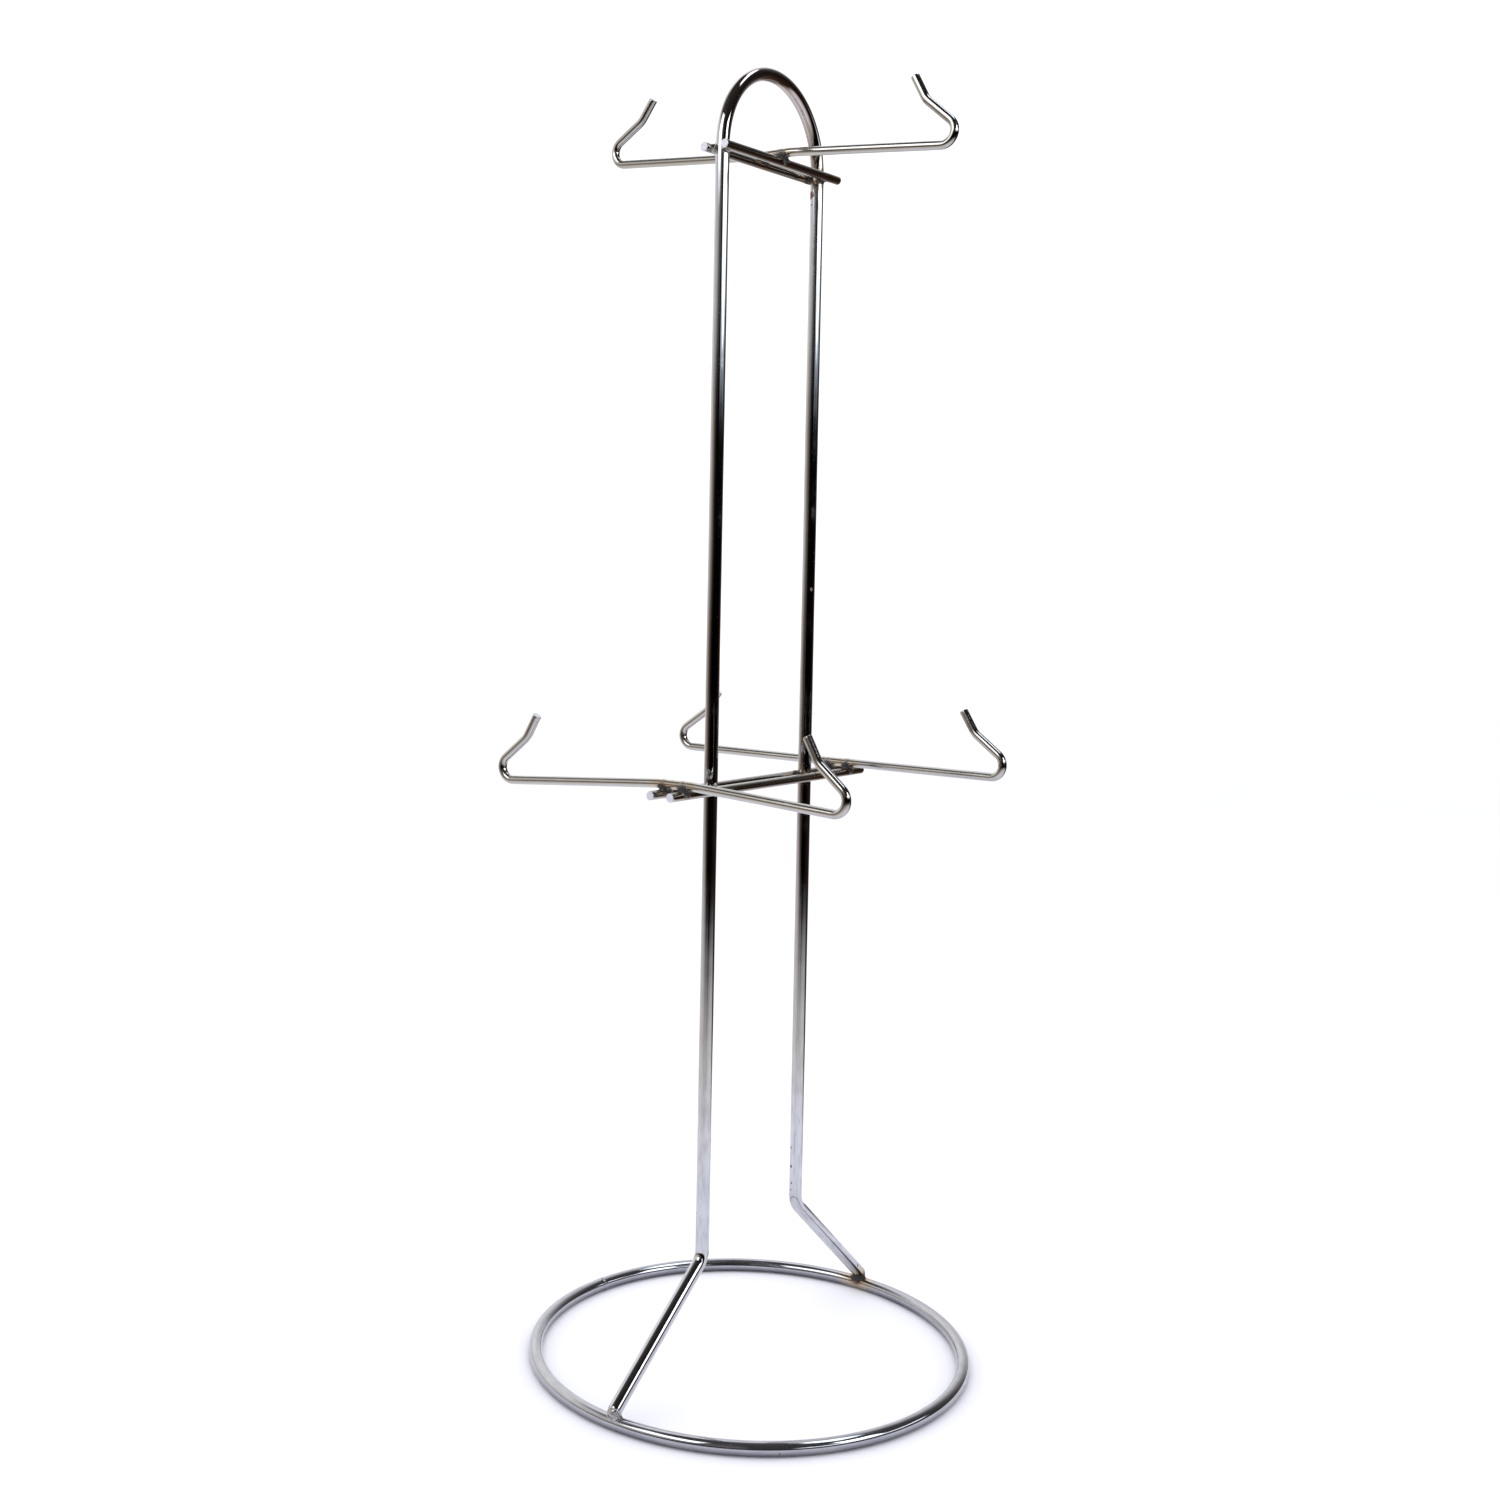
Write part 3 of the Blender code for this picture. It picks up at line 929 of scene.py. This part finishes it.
def make_floor():
    """A plain pale disc of paper."""
    disc = bmesh.new()
    bmesh.ops.create_circle(disc, cap_ends=True, segments=96, radius=FLOOR_RADIUS)
    g = Graph("pale_floor")
    place = g.object_place()
    fibre = g.noise(place, *PAPER_FIBRES)
    cloudy = g.smooth(g.noise(place, *PAPER_CLOUDS), 0.35, 0.65)
    colour = g.mix(cloudy, FLOOR_COLOUR, FLOOR_SHADE)
    surface = g.surface(colour, 0.0, FLOOR_ROUGHNESS, g.bump(fibre, FLOOR_FIBRE_DEPTH))
    surface.inputs["Specular IOR Level"].default_value = 0.15
    stage_piece("floor", disc, g.finish(surface), only_in_reflections=False)


# The studio round the rack, which only shiny surfaces see. Azimuths run from +X towards +Y;
# the turn is measured from the middle of the white backdrop, in degrees.
BACKDROP_AZIMUTH = 34.0
ROOM_RADIUS = 3.0
ROOM_CENTRE_HEIGHT = 0.35
ROOM_FLOOR_LEVEL = 0.0015
ROOM_FLOOR_RADII = (0.12, 0.3, 0.6, 1.0, 1.5, 2.2)
ROOM_WALL_STEPS = 32
WALL_START = (2.4, 2.95)  # distances over which the ground turns into the wall
LIP = (-0.02, -0.01)  # heights, from the room's centre, over which the ground's tones end
PAPER_INNER = (0.12, 0.26)  # where the lit paper takes over from the floor near the ring
PAPER_NEAR_TONE = (1.17, 1.19, 1.32, 1.0)
PAPER_FAR_TONE = (1.02, 0.98, 0.93, 1.0)
PAPER_TONE_SHIFT = (0.22, 0.60)  # distances over which the near tone turns into the far one

PAPER_FADE = (  # turn, distance at which the paper starts to fade, and at which it has ended
    (-180, 0.23, 1.05),
    (-144, 0.38, 1.26),
    (-118, 0.46, 1.28),
    (-90, 0.45, 1.26),
    (-68, 0.18, 0.60),
    (-34, 0.17, 0.60),
    (-8, 0.40, 1.20),
    (20, 0.50, 2.60),
    (87, 0.30, 2.40),
    (120, 0.20, 1.80),
    (145, 0.20, 1.30),
)
DARKEST_TONE = (0.0010, 0.0008, 0.0006)
TABLE_TONES = (  # turn, colour of the table beyond the paper
    (-180, DARKEST_TONE),
    (-144, (0.0020, 0.0012, 0.0010)),
    (-120, (0.012, 0.007, 0.004)),
    (-91, (0.030, 0.015, 0.010)),
    (-64, (0.035, 0.018, 0.012)),
    (-40, (0.090, 0.060, 0.050)),
    (-20, (0.220, 0.200, 0.190)),
    (8, (0.80, 0.79, 0.78)),
    (50, (0.78, 0.76, 0.74)),
    (87, (0.44, 0.38, 0.33)),
    (120, (0.130, 0.085, 0.055)),
    (142, (0.018, 0.010, 0.006)),
    (161, DARKEST_TONE),
)
FOOT_TONES = (  # turn, colour of the wall's foot
    (-180, DARKEST_TONE),
    (-112, DARKEST_TONE),
    (-85, (0.012, 0.007, 0.004)),
    (-62, (0.055, 0.028, 0.016)),
    (-44, (0.16, 0.12, 0.10)),
    (-26, (0.75, 0.74, 0.74)),
    (0, (1.15, 1.15, 1.17)),
    (36, (0.98, 0.97, 0.96)),
    (72, (0.66, 0.61, 0.55)),
    (90, (0.43, 0.36, 0.30)),
    (118, (0.135, 0.095, 0.065)),
    (142, (0.018, 0.010, 0.006)),
    (166, DARKEST_TONE),
)
EYE_TONES = (  # turn, colour at eye level
    (-180, (0.0015, 0.0012, 0.0010)),
    (-100, (0.0020, 0.0016, 0.0012)),
    (-75, (0.010, 0.007, 0.005)),
    (-58, (0.030, 0.020, 0.015)),
    (-44, (0.16, 0.14, 0.13)),
    (-26, (0.75, 0.75, 0.75)),
    (0, (1.12, 1.12, 1.13)),
    (46, (1.05, 1.04, 1.00)),
    (74, (0.94, 0.91, 0.84)),
    (91, (0.66, 0.62, 0.55)),
    (104, (0.47, 0.42, 0.35)),
    (120, (0.31, 0.26, 0.20)),
    (133, (0.18, 0.14, 0.10)),
    (145, (0.060, 0.044, 0.030)),
    (160, (0.008, 0.006, 0.005)),
)
HIGH_TONES = (  # turn, colour over eye level
    (-180, (0.030, 0.026, 0.024)),
    (-160, (0.010, 0.008, 0.007)),
    (-67, (0.020, 0.016, 0.014)),
    (-50, (0.12, 0.11, 0.105)),
    (-32, (0.42, 0.41, 0.41)),
    (-15, (0.85, 0.85, 0.85)),
    (10, (1.25, 1.25, 1.25)),
    (60, (1.35, 1.34, 1.30)),
    (91, (0.95, 0.93, 0.89)),
    (120, (0.78, 0.76, 0.72)),
    (138, (0.52, 0.50, 0.47)),
    (157, (0.15, 0.14, 0.13)),
)
TOP_TONES = (  # turn, colour high on the walls
    (-180, (0.022, 0.020, 0.019)),
    (-60, (0.035, 0.032, 0.030)),
    (-36, (0.20, 0.20, 0.20)),
    (-18, (0.70, 0.70, 0.71)),
    (5, (1.45, 1.47, 1.50)),
    (35, (1.35, 1.37, 1.40)),
    (60, (0.36, 0.35, 0.34)),
    (91, (0.09, 0.085, 0.08)),
    (120, (0.05, 0.045, 0.04)),
)
# Elevations, in degrees, over which one set of tones turns into the next
EYE_ELEVATION = (-3.0, 2.0)
HIGH_ELEVATION = (6.0, 12.0)
TOP_ELEVATION = (30.0, 46.0)
CEILING_ELEVATION = (60.0, 70.0)
CEILING_TONE = (0.045, 0.042, 0.040, 1.0)

# A skylight: its middle turn and half width, the elevations it spans, the softness of its
# sides and of its upper and lower edges, and its colour
SKYLIGHT_TURN = -70.0
SKYLIGHT_HALF_WIDTH = 41.0
SKYLIGHT_ELEVATIONS = (57.0, 75.0)
SKYLIGHT_SOFT_SIDE = 6.0
SKYLIGHT_SOFT_EDGE = 3.0
SKYLIGHT_COLOUR = (2.9, 3.2, 3.5, 1.0)

SHEET_STEPS = 24
SHEET_RIM = 0.08
SHEET_FOLD_DEPTH = 0.45  # how far folds move the soft foot, as a share of it
SHEET_COLOUR = (1.0, 1.0, 1.0, 1.0)
SHEET_RIM_COLOUR = (0.80, 0.93, 1.0, 1.0)

# A soft box: middle azimuth, half width in degrees, distance, lowest and highest edge,
# soft share of the lower edge, brightness
SoftBox = namedtuple("SoftBox", "azimuth half_width distance lowest highest soft_foot brightness")
SOFT_BOXES = {
    "side_box": SoftBox(-84.0, 40.0, 2.60, 0.62, 1.18, 0.95, 3.4),
    "window": SoftBox(-86.0, 13.0, 1.40, 0.62, 1.32, 0.10, 5.0),
    "camera_box": SoftBox(168.0, 24.0, 1.35, 0.78, 2.05, 0.08, 3.2),
}


def around(g, azimuth, middle):
    """Degrees from a middle azimuth, from -180 to 180."""
    apart = g.add("ShaderNodeMath", operation="WRAP")
    g.feed(apart.inputs[0], g.math("SUBTRACT", azimuth, middle))
    apart.inputs[1].default_value = 180.0
    apart.inputs[2].default_value = -180.0
    return apart.outputs[0]


def tone_ramp(g, turn, tones):
    """A colour ramp over the turn, whose stops may be brighter than one."""
    brightest = max(max(colour) for angle, colour in tones)
    ramp = g.add("ShaderNodeValToRGB")
    stops = ramp.color_ramp.elements
    while len(stops) < len(tones):
        stops.new(0.5)
    for stop, (angle, colour) in zip(stops, tones):
        stop.position = (angle + 180) / 360
        stop.color = (*(part / brightest for part in colour), 1.0)
    share = g.math("DIVIDE", g.math("ADD", turn, 180.0), 360.0)
    g.feed(ramp.inputs[0], share)
    return g.mix(1.0, ramp.outputs[0], (brightest, brightest, brightest, 1.0), "MULTIPLY")


def room_material():
    """The glow of the walls, the ceiling and the ground, by turn, elevation and distance."""
    g = Graph("studio_room")
    place = g.object_place()
    x, y, z = g.parts(place)
    azimuth = g.math("MULTIPLY", g.math("ARCTAN2", y, x), 180 / math.pi)
    turn = around(g, azimuth, BACKDROP_AZIMUTH)
    flat = g.vector("LENGTH", g.vector("MULTIPLY", place, (1, 1, 0)).outputs[0]).outputs["Value"]
    elevation = g.math("MULTIPLY", g.math("ARCTAN2", z, flat), 180 / math.pi)

    wall = tone_ramp(g, turn, FOOT_TONES)
    wall = g.mix(g.smooth(elevation, *EYE_ELEVATION), wall, tone_ramp(g, turn, EYE_TONES))
    wall = g.mix(g.smooth(elevation, *HIGH_ELEVATION), wall, tone_ramp(g, turn, HIGH_TONES))
    wall = g.mix(g.smooth(elevation, *TOP_ELEVATION), wall, tone_ramp(g, turn, TOP_TONES))
    wall = g.mix(g.smooth(elevation, *CEILING_ELEVATION), wall, CEILING_TONE)
    aside = g.math("ABSOLUTE", around(g, turn, SKYLIGHT_TURN))
    lowest, highest = SKYLIGHT_ELEVATIONS
    skylight = g.smooth(aside, SKYLIGHT_HALF_WIDTH - SKYLIGHT_SOFT_SIDE, SKYLIGHT_HALF_WIDTH, 1.0, 0.0)
    foot = g.smooth(elevation, lowest, lowest + SKYLIGHT_SOFT_EDGE)
    head = g.smooth(elevation, highest - SKYLIGHT_SOFT_EDGE, highest, 1.0, 0.0)
    skylight = g.math("MULTIPLY", g.math("MULTIPLY", skylight, foot), head)
    wall = g.mix(skylight, wall, SKYLIGHT_COLOUR)

    # The paper fades with distance, sooner on some sides: start and end come from one ramp
    fade = tone_ramp(g, turn, [(angle, (start, end, 0.0)) for angle, start, end in PAPER_FADE])
    edges = g.add("ShaderNodeSeparateColor")
    g.feed(edges.inputs[0], fade)
    gone = g.smooth(flat, edges.outputs[0], edges.outputs[1])
    paper = g.mix(g.smooth(flat, *PAPER_TONE_SHIFT), PAPER_NEAR_TONE, PAPER_FAR_TONE)
    ground = g.mix(gone, paper, tone_ramp(g, turn, TABLE_TONES))
    colour = g.mix(g.smooth(flat, *WALL_START), ground, wall)
    below = g.smooth(z, *LIP, 1.0, 0.0)
    colour = g.mix(below, wall, colour)
    solid = g.math("MAXIMUM", g.smooth(flat, *PAPER_INNER), g.math("SUBTRACT", 1.0, below))
    return g.glow(solid, colour)


def soft_box_material(name, box):
    """A white sheet that falls off at its rim, and gently and unevenly towards its lower edge."""
    g = Graph(name)
    across, up = g.parts(g.add("ShaderNodeUVMap", uv_map="sheet").outputs["UV"])[:2]
    inside = g.smooth(g.math("MINIMUM", across, g.math("SUBTRACT", 1.0, across)), 0.0, SHEET_RIM)
    inside = g.math("MULTIPLY", inside, g.smooth(g.math("SUBTRACT", 1.0, up), 0.0, SHEET_RIM))
    folds = g.noise(g.object_place(), *SHEET_FOLDS)
    foot = g.math("ADD", up, g.centred(folds, SHEET_FOLD_DEPTH * box.soft_foot))
    inside = g.math("MULTIPLY", inside, g.smooth(foot, 0.0, box.soft_foot))
    return g.glow(inside, g.mix(inside, SHEET_RIM_COLOUR, SHEET_COLOUR), box.brightness)


def stage_piece(name, shape, material, place=(0, 0, 0), only_in_reflections=True):
    """A piece of the studio, which by default shows only in shiny surfaces."""
    piece = make_object(name, shape, material)
    piece.location = place
    if only_in_reflections:
        for ray in ("camera", "diffuse", "shadow", "transmission", "volume_scatter"):
            setattr(piece, f"visible_{ray}", False)


def make_room():
    """A bowl over the rack: a floor part that starts clear, then walls and ceiling."""
    floor_level = ROOM_FLOOR_LEVEL - ROOM_CENTRE_HEIGHT
    profile = [(radius, floor_level) for radius in ROOM_FLOOR_RADII]
    low = math.asin(floor_level / ROOM_RADIUS)
    for step in range(ROOM_WALL_STEPS + 1):
        rise = low + (math.pi / 2 - low) * step / ROOM_WALL_STEPS
        profile.append((ROOM_RADIUS * math.cos(rise), ROOM_RADIUS * math.sin(rise)))
    shell = bmesh.new()
    verts = [shell.verts.new((radius, 0, height)) for radius, height in profile]
    edges = [shell.edges.new(pair) for pair in zip(verts, verts[1:])]
    bmesh.ops.spin(shell, geom=verts + edges, axis=UP, cent=(0, 0, 0), steps=96, angle=math.tau)
    bmesh.ops.remove_doubles(shell, verts=shell.verts[:], dist=0.00001)
    stage_piece("studio_room", shell, room_material(), (0, 0, ROOM_CENTRE_HEIGHT))


def make_soft_box(name, box):
    """A sheet bent round the rack at one distance."""
    sheet = bmesh.new()
    layer = sheet.loops.layers.uv.new("sheet")
    columns = []
    for step in range(SHEET_STEPS + 1):
        angle = math.radians(box.azimuth + box.half_width * (2 * step / SHEET_STEPS - 1))
        middle = Vector((math.cos(angle), math.sin(angle), 0)) * box.distance
        ends = (middle + UP * box.lowest, middle + UP * box.highest)
        columns.append([sheet.verts.new(end) for end in ends])
    for step in range(SHEET_STEPS):
        face = sheet.faces.new((*columns[step], *columns[step + 1][::-1]))
        left = step / SHEET_STEPS
        right = (step + 1) / SHEET_STEPS
        for loop, place in zip(face.loops, ((left, 0), (left, 1), (right, 1), (right, 0))):
            loop[layer].uv = place
    stage_piece(name, sheet, soft_box_material(name, box))


WORLD_COLOUR = (1.0, 1.005, 1.10, 1.0)
WORLD_STRENGTH = 1.19
OVERHEAD_PLACE = Vector((-0.15, 0.25, 1.9))
OVERHEAD_AIM = Vector((0, 0, 0.1))
OVERHEAD_SIZE = 1.6
OVERHEAD_POWER = 4.0
OVERHEAD_COLOUR = (1.0, 0.985, 0.96)


def make_lights():
    """Even white light from all round, and a soft lamp overhead that shows in no reflection."""
    world = bpy.data.worlds.new("studio")
    bpy.context.scene.world = world
    world.use_nodes = True
    background = world.node_tree.nodes["Background"]
    background.inputs["Color"].default_value = WORLD_COLOUR
    background.inputs["Strength"].default_value = WORLD_STRENGTH
    data = bpy.data.lights.new("overhead", "AREA")
    data.shape = "DISK"
    data.size = OVERHEAD_SIZE
    data.energy = OVERHEAD_POWER
    data.color = OVERHEAD_COLOUR
    overhead = bpy.data.objects.new("overhead", data)
    overhead.location = OVERHEAD_PLACE
    overhead.rotation_euler = (OVERHEAD_AIM - OVERHEAD_PLACE).to_track_quat("-Z", "Y").to_euler()
    overhead.visible_glossy = False
    overhead.visible_camera = False
    bpy.context.scene.collection.objects.link(overhead)


# The camera of the photograph: place, aim, and a lens whose centre is a little off
CAMERA_PLACE = Vector((-0.7057, -0.4805, 0.3758))
CAMERA_YAW = 0.6587
CAMERA_PITCH = -0.0538
CAMERA_ROLL = 0.0168
CAMERA_LENS = 43.63
SENSOR_WIDTH = 36.0
CAMERA_SHIFT = (0.0661, -0.0579)


def make_camera():
    """The scene's camera, turned by its yaw, pitch and roll."""
    level = math.cos(CAMERA_PITCH)
    ahead = Vector((math.cos(CAMERA_YAW) * level, math.sin(CAMERA_YAW) * level, math.sin(CAMERA_PITCH)))
    right = Vector((math.sin(CAMERA_YAW), -math.cos(CAMERA_YAW), 0))
    above = right.cross(ahead)
    turned_right = right * math.cos(CAMERA_ROLL) + above * math.sin(CAMERA_ROLL)
    turned_up = above * math.cos(CAMERA_ROLL) - right * math.sin(CAMERA_ROLL)
    data = bpy.data.cameras.new("camera")
    data.lens = CAMERA_LENS
    data.sensor_width = SENSOR_WIDTH
    data.shift_x, data.shift_y = CAMERA_SHIFT
    data.clip_start = 0.01
    data.clip_end = 50.0
    camera = bpy.data.objects.new("camera", data)
    turn = Matrix((turned_right, turned_up, -ahead)).transposed()
    camera.matrix_world = Matrix.Translation(CAMERA_PLACE) @ turn.to_4x4()
    bpy.context.scene.collection.objects.link(camera)
    bpy.context.scene.camera = camera


make_floor()
make_room()
for name, box in SOFT_BOXES.items():
    make_soft_box(name, box)
make_lights()
make_camera()
bpy.context.scene.view_settings.view_transform = "Standard"
